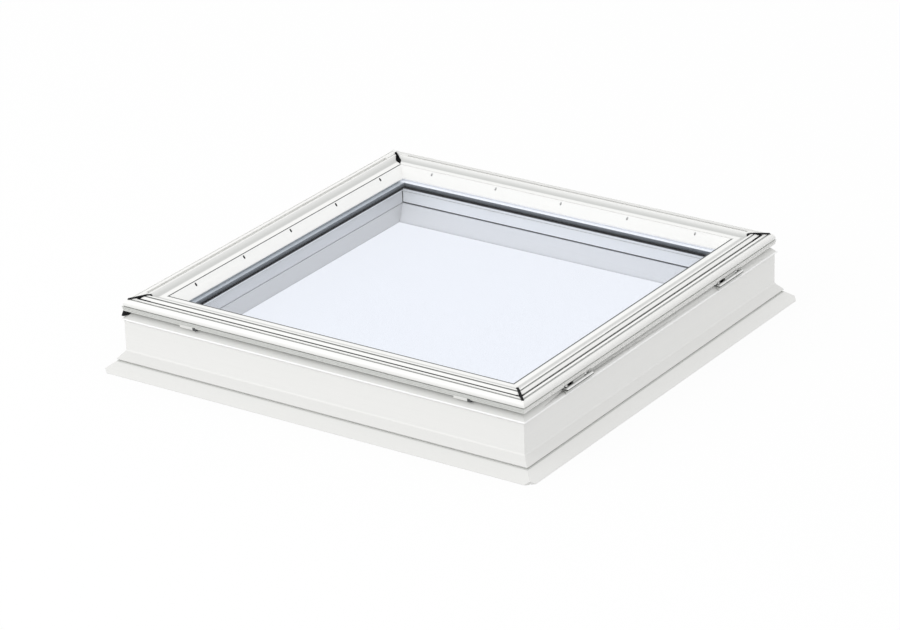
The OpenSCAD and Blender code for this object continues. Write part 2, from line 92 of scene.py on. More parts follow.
def band(outer_mm: float, inner_mm: float, share: float = 1.0) -> Stops:
    """Makes a band with crisp edges.

    Args:
        outer_mm: Inset of its outer edge.
        inner_mm: Inset of its inner edge.
        share: Share of the tone within the band.

    Returns:
        Stops of the band, each an inset and a share.
    """
    return (outer_mm, 0.0), (outer_mm + CRISP_MM, share), (inner_mm - CRISP_MM, share), (inner_mm, 0.0)


@dataclass(frozen=True)
class Shade:
    """A tone painted along a profile: mostly painted shade, also a painted highlight and white sealant.

    It holds the tone's share at each inset, the heights between which it lies, its colour, and how far
    it fades out under its top.
    """

    stops: Stops
    low_mm: float
    high_mm: float
    colour: str
    fade_mm: float = 0.4


@dataclass(frozen=True)
class HoleRow:
    """A row of holes along a profile, with painted shade in them and on a thin rim round them."""

    inset_mm: float = 80.4
    pitch_mm: float = 188.8
    reach_mm: float = 3.0
    colour: str = "1c1d1f"


def shaded_grooves(fine: str, deep: str, ridge: str, lip: str) -> tuple[Shade, ...]:
    """Paints shade into the grooves along a sash profile and onto the lip's edge.

    Args:
        fine: Painted shade of the fine groove near the outer face.
        deep: Painted shade of the deep groove in the shoulder.
        ridge: Painted shade of the groove on the ridge.
        lip: Painted shade of the lip's edge beside the bead.

    Returns:
        The four painted shades.
    """
    return (
        Shade(band(7.2, 11.8), 165.0, 176.0, fine),
        Shade(band(19.0, 25.8), 160.0, 176.2, deep),
        Shade(band(32.4, 37.3), 165.0, 180.05, ridge),
        Shade(band(71.2, 73.4), 170.0, 173.6, lip),
    )


EVERYWHERE: Stops = ((0.0, 1.0),)
OUTER_FACE: Stops = ((5.0, 1.0), (5.5, 0.0))
# Painted shade in the grooves, darker along the front side than along the right side
GROOVE_SHADES = shaded_grooves(fine="8d8f8d", deep="4c4e4d", ridge="8d8f8d", lip="8d8f8d")
SOFT_GROOVE_SHADES = shaded_grooves(fine="a3a5a3", deep="7b7d7b", ridge="b4b6b4", lip="a3a5a3")
# Seen over the ridge, only the far part of the shoulder shows, and its painted shade joins into one line
FAR_SHOULDER_SHADE = Shade(band(13.0, 25.8), 165.0, 176.2, "dededc")
# Painted shade: the fine ribs on the sash's outer face are painted as one darker tone, under a painted darker
# line in the groove
RIB_SHADES = (
    Shade(OUTER_FACE, 147.0, 159.0, "dddedb"),
    Shade(OUTER_FACE, 158.8, 161.3, "b6b7b4"),
)
SOFT_RIB_SHADES = (Shade(OUTER_FACE, 158.8, 161.3, "cdcecb"),)
# Painted shade: the cove is painted darker towards the lip
COVE_SHADE_STOPS: Stops = ((38.0, 0.0), (42.0, 0.3), (48.0, 0.75), (55.0, 1.0), (58.0, 0.7), (61.0, 0.0))
COVE_SHADE = Shade(COVE_SHADE_STOPS, 168.0, 182.0, "c4c5c3")
# Painted shade in the joint between the sash's lip and the bead
BEAD_JOINT_SHADE = Shade(band(72.9, 76.1), 150.0, 173.4, "6d6f71")
# Painted shade: the gap under the sash is painted darker inwards, above the painted highlight on the rim of
# the kerb
RECESS_SHADE_STOPS: Stops = (
    (-4.5, 0.0),
    (-3.5, 0.25),
    (0.0, 0.35),
    (6.0, 0.6),
    (12.0, 1.0),
    (15.0, 1.0),
    (20.0, 0.0),
)
RECESS_SHADE = Shade(RECESS_SHADE_STOPS, 126.0, 145.0, "acadaa")
SOFT_RECESS_SHADE = Shade(RECESS_SHADE_STOPS, 126.0, 145.0, "bfc0bd")
# Painted highlight along the nose of the kerb's rim
RIM_HIGHLIGHT = Shade(((-3.4, 1.0), (-2.6, 0.0)), 124.0, 129.6, "ffffff")
# Painted shade: the foot of the kerb's wall, which flares out over the skirt and faces up, is painted darker,
# and the skirt's top edge is painted as a darker line
FLARE_SHADE_STOPS: Stops = ((-2.0, 1.0), (-0.2, 0.0))
FLARE_SHADE = Shade(FLARE_SHADE_STOPS, 20.0, 60.0, "dededc", 3.0)
SOFT_FLARE_SHADE = Shade(FLARE_SHADE_STOPS, 20.0, 60.0, "e5e5e3", 3.0)
SKIRT_TOP_SHADE = Shade(EVERYWHERE, 22.4, 30.0, "cdcecb")
# Painted shade on the reveal: the bare wall is painted darker, most on the left and right sides, where the
# boards over it are painted darker too; the open joint between them is painted dark, strongly on the front
# and back sides and faintly on the left and right
REVEAL = band(44.0, 112.0)
INNER_WALL_SHADE = Shade(REVEAL, -1.0, 76.0, "c5c5c4")
INNER_BOARD_SHADE = Shade(REVEAL, 76.0, 126.0, "d6d6d5")
SOFT_INNER_WALL_SHADE = Shade(REVEAL, -1.0, 76.0, "e4e4e3")
BOARD_JOINT_SHADE = Shade(band(80.0, 90.0), 75.4, 80.0, "1a1c1f")
FAINT_BOARD_JOINT_SHADE = Shade(band(80.0, 90.0, 0.15), 75.9, 79.5, "1a1c1f")
# White sealant over the seals' tongues in the far sides' grooves, and over the far seal's outer end
SEALANT = "f0f0ee"
CAPPED_TONGUE = Shade(band(19.0, 25.4), 140.0, 176.2, SEALANT)
CAPPED_FOOT = Shade(EVERYWHERE, 140.0, 176.2, SEALANT)
CAPPED_END = Shade(((27.0, 1.0), (27.4, 0.0)), 140.0, 182.0, SEALANT)
# Painted shade on the edge of the glass rest, reaching lower on the left side, and the spacer's black foot
# above it
GLASS_REST_SHADE = Shade(band(88.0, 94.0), 117.8, 120.6, "26282b")
LEFT_GLASS_REST_SHADE = Shade(band(88.0, 94.0), 115.0, 120.6, "3e4145")
SPACER_FOOT = Shade(EVERYWHERE, 120.0, 140.0, "0a0b0d", 9.0)
# Painted shade: the strips along the glass are painted darker on the left and right sides
SHADED_SIDES = Shade(((100.0, 0.0), (112.0, 1.0)), 120.0, 150.0, "aeb3b7")
# Painted shade: the hinge is painted darker at its foot and on its top, with a painted dark line under the
# crown of its knuckles, so that it is bright only along that crown
HINGE_FOOT_SHADE = Shade(EVERYWHERE, 120.0, 139.0, "d0d1cf")
KNUCKLE_SHADE_LINE = Shade(EVERYWHERE, 138.6, 141.3, "5a5c5a", 0.3)
HINGE_TOP_SHADE = Shade(EVERYWHERE, 143.9, 160.0, "bdbebc")


def linear(srgb_hex: str) -> Colour:
    """Turns an sRGB hex value into a linear colour.

    Args:
        srgb_hex: Six hex digits, without a mark in front.

    Returns:
        Red, green, blue and alpha, linear, from 0 to 1.
    """
    channels = [int(srgb_hex[i : i + 2], 16) / 255 for i in (0, 2, 4)]
    # The sRGB curve is straight near black and a power above that
    red, green, blue = (c / 12.92 if c <= 0.04045 else ((c + 0.055) / 1.055) ** 2.4 for c in channels)
    return red, green, blue, 1.0


def dimmed(srgb_hex: str, share: float) -> Colour:
    """Dims a colour.

    Args:
        srgb_hex: The colour as an sRGB hex value.
        share: Share of its light that is left.

    Returns:
        The dimmed colour, linear.
    """
    red, green, blue, alpha = linear(srgb_hex)
    return share * red, share * green, share * blue, alpha


def add_node(
    tree: Tree,
    kind: str,
    values: dict[str | int, object] | None = None,
    links: dict[str | int, Socket] | None = None,
    **settings: object,
) -> bpy.types.Node:
    """Adds a shader node.

    Args:
        tree: Node tree that gets the node.
        kind: Type name of the node.
        values: Constant value of each named or numbered input.
        links: Output that feeds each named or numbered input.
        **settings: Properties of the node itself.

    Returns:
        The new node.
    """
    node = tree.nodes.new(kind)
    for name, value in settings.items():
        setattr(node, name, value)
    for name, value in (values or {}).items():
        node.inputs[name].default_value = value
    for name, socket in (links or {}).items():
        tree.links.new(socket, node.inputs[name])
    return node


def new_material(name: str) -> tuple[bpy.types.Material, Tree, Socket]:
    """Makes an empty node material.

    Args:
        name: Name of the material.

    Returns:
        The material, its node tree and the surface socket of its output.
    """
    material = bpy.data.materials.new(name)
    material.use_nodes = True
    tree = material.node_tree
    tree.nodes.clear()
    output = tree.nodes.new("ShaderNodeOutputMaterial")
    return material, tree, output.inputs["Surface"]


@dataclass(frozen=True)
class Skin:
    """What every opaque finish has.

    A fine pattern dims its colour down to the share dim, and makes it smoother and rougher by the two
    values of sheen_spread. Painted tones, mostly painted shade, and the painted shade in the holes lie
    over that along the profiles.
    """

    name: str
    colour: str
    run: Run = Run.ALONG_X
    shades: tuple[Shade, ...] = ()
    holes: HoleRow | None = None
    roughness: float = 0.3
    dim: float = 1.0
    sheen_spread: tuple[float, float] = (0.0, 0.0)

    def worked(self, tree: Tree, place: Socket, pattern: Socket) -> dict[str, Socket]:
        """Lets a fine pattern vary the tone and the sheen.

        Args:
            tree: Node tree that gets the nodes.
            place: Position on the skylight, in metres.
            pattern: Socket of the pattern, from 0 to 1.

        Returns:
            Sockets for the shader's colour and roughness.
        """
        smoother, rougher = self.sheen_spread
        sheen = add_node(
            tree,
            "ShaderNodeMapRange",
            {"To Min": self.roughness - smoother, "To Max": self.roughness + rougher},
            {"Value": pattern},
        )
        tone = add_node(
            tree,
            "ShaderNodeMix",
            {MIX_A: linear(self.colour), MIX_B: dimmed(self.colour, self.dim)},
            {MIX_FACTOR: pattern},
            data_type="RGBA",
        )
        return {
            "Base Color": self.toned(tree, place, tone.outputs[MIX_COLOUR]),
            "Roughness": sheen.outputs["Result"],
        }

    def toned(self, tree: Tree, place: Socket, colour: Socket) -> Socket:
        """Lays the painted tones, mostly painted shade, and the painted shade in the holes over the skin.

        Args:
            tree: Node tree that gets the nodes.
            place: Position on the skylight, in metres.
            colour: Colour of the clean skin.

        Returns:
            Socket of the resulting colour.
        """
        axes = add_node(tree, "ShaderNodeSeparateXYZ", links={"Vector": place})
        outwards = add_node(
            tree, "ShaderNodeMath", links={0: axes.outputs[self.run.across]}, operation="ABSOLUTE"
        ).outputs["Value"]
        layers = [
            (self.shade_share(tree, shade, outwards, axes.outputs["Z"]), shade.colour)
            for shade in self.shades
        ]
        if self.holes:
            layers.append((self.hole_share(tree, outwards, axes.outputs[self.run.along]), self.holes.colour))
        for share, layer in layers:
            colour = add_node(
                tree,
                "ShaderNodeMix",
                {MIX_B: linear(layer)},
                {MIX_FACTOR: share, MIX_A: colour},
                data_type="RGBA",
            ).outputs[MIX_COLOUR]
        return colour

    @staticmethod
    def shade_share(tree: Tree, shade: Shade, outwards: Socket, height: Socket) -> Socket:
        """Works out how much of a shade lies on a point.

        Args:
            tree: Node tree that gets the nodes.
            shade: The shade.
            outwards: Distance from the skylight's middle plane, in metres.
            height: Height above the floor, in metres.

        Returns:
            Socket of the share, from 0 to 1.
        """
        inset = add_node(
            tree,
            "ShaderNodeMapRange",
            {
                "From Min": (HALF_KERB_MM - RAMP_FROM_MM) * MM,
                "From Max": (HALF_KERB_MM - RAMP_TO_MM) * MM,
            },
            {"Value": outwards},
        )
        strength = add_node(tree, "ShaderNodeValToRGB", links={"Fac": inset.outputs["Result"]})
        ramp = strength.color_ramp
        # A new ramp has two stops, and the first one is used again
        ramp.elements.remove(ramp.elements[1])
        for number, (inset_mm, share) in enumerate(shade.stops):
            position = (inset_mm - RAMP_FROM_MM) / (RAMP_TO_MM - RAMP_FROM_MM)
            stop = ramp.elements.new(position) if number else ramp.elements[0]
            stop.position = position
            stop.color = (share, share, share, 1.0)
        under_top = add_node(
            tree,
            "ShaderNodeMapRange",
            {"From Min": shade.high_mm * MM, "From Max": (shade.high_mm - shade.fade_mm) * MM},
            {"Value": height},
        )
        over_foot = add_node(
            tree, "ShaderNodeMath", {1: shade.low_mm * MM}, {0: height}, operation="GREATER_THAN"
        )
        between = add_node(
            tree,
            "ShaderNodeMath",
            links={0: under_top.outputs["Result"], 1: over_foot.outputs["Value"]},
            operation="MULTIPLY",
        )
        return add_node(
            tree,
            "ShaderNodeMath",
            links={0: strength.outputs["Color"], 1: between.outputs["Value"]},
            operation="MULTIPLY",
        ).outputs["Value"]

    def hole_share(self, tree: Tree, outwards: Socket, along_side: Socket) -> Socket:
        """Finds the holes with their rims, which get painted shade.

        Args:
            tree: Node tree that gets the nodes.
            outwards: Distance from the skylight's middle plane, in metres.
            along_side: Place along the side, in metres.

        Returns:
            Socket that is 1 in a hole and 0 elsewhere.
        """
        half_pitch = self.holes.pitch_mm / 2 * MM
        nearest = add_node(
            tree, "ShaderNodeMath", {1: half_pitch, 2: -half_pitch}, {0: along_side}, operation="WRAP"
        )
        inwards = add_node(
            tree,
            "ShaderNodeMath",
            {1: (HALF_KERB_MM - self.holes.inset_mm) * MM},
            {0: outwards},
            operation="SUBTRACT",
        )
        offset = add_node(
            tree, "ShaderNodeCombineXYZ", links={"X": nearest.outputs["Value"], "Y": inwards.outputs["Value"]}
        )
        distance = add_node(
            tree, "ShaderNodeVectorMath", links={0: offset.outputs["Vector"]}, operation="LENGTH"
        )
        return add_node(
            tree,
            "ShaderNodeMath",
            {1: self.holes.reach_mm * MM},
            {0: distance.outputs["Value"]},
            operation="LESS_THAN",
        ).outputs["Value"]


@dataclass(frozen=True)
class ExtrudedPvc(Skin):
    """White PVC-U from an extruder: an even satin skin with faint die lines along the profile."""

    dim: float = 0.97
    sheen_spread: tuple[float, float] = (0.04, 0.06)
    ior: float = 1.54
    line_mm: float = 4.0
    line_depth_mm: float = 0.02
    line_strength: float = 0.3
    line_detail: float = 3.0
    line_fineness: float = 0.6

    def make(self) -> bpy.types.Material:
        """Builds the material."""
        material, tree, surface = new_material(self.name)
        place = add_node(tree, "ShaderNodeTexCoord").outputs["Object"]
        stretched = add_node(tree, "ShaderNodeMapping", {"Scale": self.run.value}, {"Vector": place})
        # Die lines are finer than a millimetre; they are drawn wider so that they show
        lines = add_node(
            tree,
            "ShaderNodeTexNoise",
            {
                "Scale": 1 / (self.line_mm * MM),
                "Detail": self.line_detail,
                "Roughness": self.line_fineness,
            },
            {"Vector": stretched.outputs["Vector"]},
        )
        bump = add_node(
            tree,
            "ShaderNodeBump",
            {"Strength": self.line_strength, "Distance": self.line_depth_mm * MM},
            {"Height": lines.outputs["Fac"]},
        )
        skin = self.worked(tree, place, lines.outputs["Fac"])
        shader = add_node(
            tree,
            "ShaderNodeBsdfPrincipled",
            {"IOR": self.ior},
            {**skin, "Normal": bump.outputs["Normal"]},
        )
        tree.links.new(shader.outputs["BSDF"], surface)
        return material


@dataclass(frozen=True)
class MouldedRubber(Skin):
    """Rubber, silicone or butyl from a die or a gun: matt, with a fine grain.

    A pale one may have a little glow of its own, which is painted light.
    """

    roughness: float = 0.7
    dim: float = 0.9
    sheen_spread: tuple[float, float] = (0.1, 0.1)
    ior: float = 1.5
    grain_mm: float = 1.2
    grain_depth_mm: float = 0.1
    grain_strength: float = 0.4
    grain_detail: float = 2.0
    gloss: float = 0.2
    # Painted light: the skin glows in its own colour
    glow: float = 0.0

    def make(self) -> bpy.types.Material:
        """Builds the material."""
        material, tree, surface = new_material(self.name)
        place = add_node(tree, "ShaderNodeTexCoord").outputs["Object"]
        # The grain is drawn coarser than it is, so that it shows
        grain = add_node(
            tree,
            "ShaderNodeTexNoise",
            {"Scale": 1 / (self.grain_mm * MM), "Detail": self.grain_detail},
            {"Vector": place},
        )
        bump = add_node(
            tree,
            "ShaderNodeBump",
            {"Strength": self.grain_strength, "Distance": self.grain_depth_mm * MM},
            {"Height": grain.outputs["Fac"]},
        )
        skin = self.worked(tree, place, grain.outputs["Fac"])
        shader = add_node(
            tree,
            "ShaderNodeBsdfPrincipled",
            {"IOR": self.ior, "Specular IOR Level": self.gloss, "Emission Strength": self.glow},
            {**skin, "Emission Color": skin["Base Color"], "Normal": bump.outputs["Normal"]},
        )
        tree.links.new(shader.outputs["BSDF"], surface)
        return material


@dataclass(frozen=True)
class PlatedSteel(Skin):
    """Zinc-plated steel: bright and cool, with faint rolling marks along the hinge."""

    dim: float = 0.92
    sheen_spread: tuple[float, float] = (0.08, 0.12)
    mark_mm: float = 1.5
    mark_detail: float = 3.0

    def make(self) -> bpy.types.Material:
        """Builds the material."""
        material, tree, surface = new_material(self.name)
        place = add_node(tree, "ShaderNodeTexCoord").outputs["Object"]
        stretched = add_node(tree, "ShaderNodeMapping", {"Scale": Run.ALONG_Y.value}, {"Vector": place})
        # Rolling marks are finer than this; they are drawn wider so that they show
        marks = add_node(
            tree,
            "ShaderNodeTexNoise",
            {"Scale": 1 / (self.mark_mm * MM), "Detail": self.mark_detail},
            {"Vector": stretched.outputs["Vector"]},
        )
        skin = self.worked(tree, place, marks.outputs["Fac"])
        shader = add_node(tree, "ShaderNodeBsdfPrincipled", {"Metallic": 1.0}, skin)
        tree.links.new(shader.outputs["BSDF"], surface)
        return material


@dataclass(frozen=True)
class FloatGlass:
    """Coated float glass: flat, clear and faintly blue, with little mirroring.

    Its ior is under glass's own 1.52, because the object hardly mirrors.
    """

    name: str
    tint: str
    ior: float = 1.1
    roughness: float = 0.0

    def make(self) -> bpy.types.Material:
        """Builds the material."""
        material, tree, surface = new_material(self.name)
        clear = add_node(tree, "ShaderNodeBsdfTransparent", {"Color": linear(self.tint)})
        mirror = add_node(tree, "ShaderNodeBsdfGlossy", {"Roughness": self.roughness})
        bounce = add_node(tree, "ShaderNodeFresnel", {"IOR": self.ior})
        # Only the face towards the eye mirrors, so a pane isn't a mirror from within
        back_face = add_node(tree, "ShaderNodeNewGeometry").outputs["Backfacing"]
        share = add_node(
            tree,
            "ShaderNodeMix",
            {"B": 0.0},
            {"Factor": back_face, "A": bounce.outputs["Fac"]},
            data_type="FLOAT",
        )
        pane = add_node(
            tree,
            "ShaderNodeMixShader",
            links={0: share.outputs["Result"], 1: clear.outputs["BSDF"], 2: mirror.outputs["BSDF"]},
        )
        tree.links.new(pane.outputs["Shader"], surface)
        return material


# The kerb's and the sash's white, the beads' white painted lighter as painted light, the black of the rubber,
# and a black painted deeper as painted shade
WHITE, LIT_WHITE = "f4f4f2", "fafaf8"
BLACK, SHADED_BLACK = "121315", "08090a"


class Finish(Enum):
    """Finishes of the skylight's pieces."""

    # Extruded PVC-U gives an even, satin white with faint lines along each profile; the kerb and the sash
    # carry painted shade and painted highlights, which differ from side to side
    KERB_X = ExtrudedPvc(
        "white_pvcu_kerb_along_x",
        WHITE,
        Run.ALONG_X,
        (RECESS_SHADE, SOFT_INNER_WALL_SHADE, RIM_HIGHLIGHT, FLARE_SHADE, BOARD_JOINT_SHADE),
    )
    KERB_Y = ExtrudedPvc(
        "white_pvcu_kerb_along_y",
        WHITE,
        Run.ALONG_Y,
        (SOFT_RECESS_SHADE, INNER_WALL_SHADE, INNER_BOARD_SHADE, RIM_HIGHLIGHT, SOFT_FLARE_SHADE, FAINT_BOARD_JOINT_SHADE),
    )
    SASH_FRONT = ExtrudedPvc(
        "white_pvcu_sash_front",
        WHITE,
        Run.ALONG_X,
        (*RIB_SHADES, *GROOVE_SHADES, COVE_SHADE, BEAD_JOINT_SHADE, GLASS_REST_SHADE),
    )
    SASH_RIGHT = ExtrudedPvc(
        "white_pvcu_sash_right",
        WHITE,
        Run.ALONG_Y,
        (*SOFT_RIB_SHADES, *SOFT_GROOVE_SHADES, COVE_SHADE, BEAD_JOINT_SHADE, GLASS_REST_SHADE),
    )
    SASH_BACK = ExtrudedPvc(
        "white_pvcu_sash_back", WHITE, Run.ALONG_X, (FAR_SHOULDER_SHADE, COVE_SHADE, GLASS_REST_SHADE)
    )
    SASH_LEFT = ExtrudedPvc(
        "white_pvcu_sash_left", WHITE, Run.ALONG_Y, (COVE_SHADE, BEAD_JOINT_SHADE, LEFT_GLASS_REST_SHADE)
    )
    # The same plastic for the skirt is painted darker, as painted shade, more on the front and back; the
    # beads are painted lighter, as painted light, but the back bead a little darker, as painted shade, with
    # paler holes
    SKIRT_X = ExtrudedPvc("pvcu_skirt_painted_shade_along_x", "e3e3e1", Run.ALONG_X, (SKIRT_TOP_SHADE,))
    SKIRT_Y = ExtrudedPvc("pvcu_skirt_painted_shade_along_y", "ebebe9", Run.ALONG_Y, (SKIRT_TOP_SHADE,))
    BEAD_X = ExtrudedPvc("white_pvcu_bead_painted_light_along_x", LIT_WHITE, Run.ALONG_X, (BEAD_JOINT_SHADE,), HoleRow())
    BEAD_Y = ExtrudedPvc("white_pvcu_bead_painted_light_along_y", LIT_WHITE, Run.ALONG_Y, (BEAD_JOINT_SHADE,), HoleRow())
    BEAD_BACK = ExtrudedPvc("white_pvcu_bead_back_painted_shade", "f0f0ee", Run.ALONG_X, (), HoleRow(colour="c9cac9"))
    # Moulded blocks of it are a little duller
    PVC = ExtrudedPvc("white_pvcu_moulded_block", "e9e9e6")
    # Extruded EPDM is a matt black; the far corner's seal and its tail are painted deeper black, as painted
    # shade, with hardly any gloss
    EPDM = MouldedRubber("black_epdm_extruded", BLACK)
    SEAL_FRONT = MouldedRubber("black_epdm_seal_front", BLACK)
    SEAL_RIGHT = MouldedRubber("black_epdm_seal_right", BLACK, Run.ALONG_X, (CAPPED_TONGUE,))
    SEAL_BACK = MouldedRubber(
        "black_epdm_seal_back_painted_shade", SHADED_BLACK, Run.ALONG_Y, (CAPPED_END, CAPPED_FOOT), gloss=0.05
    )
    SEAL_LEFT = MouldedRubber("black_epdm_seal_left", BLACK, Run.ALONG_Y, (CAPPED_TONGUE,))
    SEAL_TAIL = MouldedRubber("black_epdm_soft_tail_painted_shade", SHADED_BLACK, gloss=0.05)
    # Moulded EPDM with a filler is a matt dark grey; on the guide buffers it is painted shade, standing for a
    # shaded hole beside each guide block
    BUFFER = MouldedRubber("dark_grey_epdm_painted_shade", "58595a")
    # A warm-edge spacer is dull; it is black at its foot, and its grey above that is a painted reflection of
    # light from the glass above
    SPACER = MouldedRubber("black_warm_edge_spacer", "787c80", shades=(SPACER_FOOT,), gloss=0.05)
    # Silicone from a gun is smooth and pale; its little glow is painted light, and it is painted darker on
    # the left and right sides as painted shade
    SILICONE = MouldedRubber(
        "grey_silicone_edge_seal", "f4f5f7", shades=(SHADED_SIDES,), roughness=0.55, glow=0.25
    )
    # Butyl tape is a dull grey
    TAPE = MouldedRubber("grey_glazing_tape", "4a4c4f")
    # The bead's soft lip is extruded with it, smooth and pale; its faint glow is painted light, and it is
    # painted darker on the left and right sides as painted shade
    BEAD_LIP = MouldedRubber(
        "grey_soft_pvc_bead_lip", "f0f1f2", shades=(SHADED_SIDES,), roughness=0.5, glow=0.05
    )
    # Zinc on rolled steel mirrors softly, with fine marks along the hinge; its foot and top are painted in
    # shade
    STEEL = PlatedSteel(
        "zinc_plated_steel_rolled", "eeeeed", shades=(HINGE_FOOT_SHADE, KNUCKLE_SHADE_LINE, HINGE_TOP_SHADE)
    )
    # Float glass is flat and clear, and its coating turns it slightly blue
    GLASS = FloatGlass("coated_float_glass", "fcfdff")


# Profiles lie on these sides, in the order of the corners round the skylight
SIDES = ("front", "right", "back", "left")
HINGE_ENDS = ("front", "back")


@dataclass
class Dresser:
    """Keeps the frame's nodes and gives them their finishes and softened edges."""

    nodes: dict[str, bpy.types.Object]
    made: dict[Finish, bpy.types.Material] = field(default_factory=dict)
    weld_mm: float = 0.002
    edge_segments: int = 2
    edge_from_deg: float = 35.0

    def material(self, finish: Finish) -> bpy.types.Material:
        """Makes a finish's material, once.

        Args:
            finish: The finish.

        Returns:
            Its material.
        """
        if finish not in self.made:
            self.made[finish] = finish.value.make()
        return self.made[finish]

    def dress(self, node: str, finish: Finish, edge_mm: float = 0.0) -> None:
        """Gives a CAD node its finish and softens its edges.

        Args:
            node: Name of the node.
            finish: Finish that it gets.
            edge_mm: Radius of its edges, or 0 to leave them sharp.
        """
        piece = self.nodes[node]
        piece.data.materials.clear()
        piece.data.materials.append(self.material(finish))
        if edge_mm:
            weld = piece.modifiers.new("weld", "WELD")
            weld.merge_threshold = self.weld_mm * MM
            edge = piece.modifiers.new("edge", "BEVEL")
            edge.width = edge_mm * MM
            edge.segments = self.edge_segments
            edge.limit_method = "ANGLE"
            edge.angle_limit = math.radians(self.edge_from_deg)
            edge.harden_normals = True
        LOG.info("%s: %s", node, finish.value.name)


def along(kind: str, side: str) -> Finish:
    """Finds the finish of a profile, with its die lines along its side.

    Args:
        kind: First word of the finish's name.
        side: Side on which the profile lies.

    Returns:
        The side's own finish, or else the one for both sides that run the same way.
    """
    own = f"{kind}_{side.upper()}"
    if own in Finish.__members__:
        return Finish[own]
    return Finish[f"{kind}_X" if side in ("front", "back") else f"{kind}_Y"]


@dataclass
class Kerb:
    """The fixed half: kerb profiles, skirt, reveal boards, seals and fixed hinge leaves."""

    edge_mm: float = 0.5

    def dress(self, dresser: Dresser) -> None:
        """Gives each node of the kerb its finish.

        Args:
            dresser: Keeper of the nodes and the materials.
        """
        for side in SIDES:
            dresser.dress(f"kerb_{side}", along("KERB", side), self.edge_mm)
            dresser.dress(f"reveal_board_{side}", along("KERB", side), self.edge_mm)
            dresser.dress(f"skirt_{side}", along("SKIRT", side), self.edge_mm)
        for node in ("reveal_joints", "weather_seal", "rebate_seal", "corner_wedges"):
            dresser.dress(node, Finish.EPDM)
        for end in HINGE_ENDS:
            dresser.dress(f"hinge_kerb_leaf_{end}", Finish.STEEL)
            dresser.dress(f"hinge_pin_{end}", Finish.STEEL)
        dresser.dress("hinge_kerb_screws", Finish.STEEL)


@dataclass
class SealTail:
    """Soft end of the far mitre seal, which lies in the cove's mitre down to the bead's joint.

    Each station holds an inset along the mitre, half of the tail's width there and its height.
    """

    name: str = "mitre_seal_back_tail"
    stations_mm: tuple[tuple[float, float, float], ...] = (
        (39.0, 2.6, 0.9),
        (42.0, 3.2, 1.5),
        (48.0, 6.0, 2.8),
        (55.0, 6.8, 3.2),
        (61.0, 5.0, 2.6),
        (67.0, 2.0, 1.5),
        (72.0, 0.9, 0.7),
    )
    ridge_mm: tuple[float, float] = (41.6, 180.4)
    lip_mm: tuple[float, float] = (57.5, 172.9)
    bed_mm: float = 0.8
    steps: int = 10

    def surface(self, inset_mm: float) -> float:
        """Finds the height of the sash's ridge, cove or lip.

        Args:
            inset_mm: Inset along the mitre.

        Returns:
            Height over the roof, in millimetres.
        """
        ridge_end, ridge_top = self.ridge_mm
        lip_start, lip_top = self.lip_mm
        if inset_mm <= ridge_end:
            return ridge_top
        if inset_mm >= lip_start:
            return lip_top
        run, drop = lip_start - ridge_end, ridge_top - lip_top
        radius = (run**2 + drop**2) / (2 * drop)
        return lip_top + radius - math.sqrt(radius**2 - (lip_start - inset_mm) ** 2)

    def ring(self, inset_mm: float, half_mm: float, rise_mm: float) -> list[Vector]:
        """Lays one cross-section of the tail.

        Args:
            inset_mm: Inset of the section along the mitre.
            half_mm: Half of its width.
            rise_mm: Its height over the sash.

        Returns:
            Corners of the section, in metres.
        """
        middle = HALF_KERB_MM - inset_mm
        foot = Vector((-middle, middle, self.surface(inset_mm)))
        across = Vector((1, 1, 0)).normalized()
        angles = [math.pi * step / self.steps for step in range(self.steps + 1)]
        corners = [
            foot + half_mm * math.cos(angle) * across + Vector((0, 0, rise_mm * math.sin(angle)))
            for angle in angles
        ]
        bed = Vector((0, 0, -self.bed_mm))
        corners += [foot - half_mm * across + bed, foot + half_mm * across + bed]
        return [corner * MM for corner in corners]

    def build(self, dresser: Dresser) -> None:
        """Makes the tail and lets it ride on the sash.

        Args:
            dresser: Keeper of the materials.
        """
        mesh = bpy.data.meshes.new(self.name)
        shape = bmesh.new()
        rings = [
            [shape.verts.new(corner) for corner in self.ring(*station)] for station in self.stations_mm
        ]
        for near, far in zip(rings, rings[1:]):
            for i in range(len(near)):
                j = (i + 1) % len(near)
                shape.faces.new((near[i], near[j], far[j], far[i])).smooth = True
        shape.faces.new(rings[0])
        shape.faces.new(rings[-1])
        bmesh.ops.recalc_face_normals(shape, faces=shape.faces)
        shape.to_mesh(mesh)
        shape.free()
        mesh.materials.append(dresser.material(Finish.SEAL_TAIL))
        tail = bpy.data.objects.new(self.name, mesh)
        bpy.context.scene.collection.objects.link(tail)
        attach(tail, "sash")
        LOG.info("%s: %d faces", tail.name, len(mesh.polygons))


@dataclass
class Sash:
    """The moving half: sash profiles, mitre seals, beads, glass unit, moving hinge leaves and guides."""

    edge_mm: float = 0.4

    def dress(self, dresser: Dresser) -> None:
        """Gives each node of the sash its finish.

        Args:
            dresser: Keeper of the nodes and the materials.
        """
        for side in SIDES:
            dresser.dress(f"sash_{side}", along("SASH", side), self.edge_mm)
            dresser.dress(f"bead_{side}", along("BEAD", side), self.edge_mm)
            dresser.dress(f"mitre_seal_{side}", along("SEAL", side))
        dresser.dress("setting_blocks", Finish.EPDM)
        dresser.dress("guide_buffers", Finish.BUFFER)
        dresser.dress("bead_gasket", Finish.BEAD_LIP)
        for node in ("guide_blocks", "sash_packer"):
            dresser.dress(node, Finish.PVC, self.edge_mm)
        for node in ("glass_upper", "glass_lower"):
            dresser.dress(node, Finish.GLASS)
        dresser.dress("spacer_bar", Finish.SPACER)
        dresser.dress("edge_sealant", Finish.SILICONE)
        dresser.dress("rest_gasket", Finish.TAPE)
        for end in HINGE_ENDS:
            dresser.dress(f"hinge_sash_leaf_{end}", Finish.STEEL)
        dresser.dress("hinge_sash_screws", Finish.STEEL)


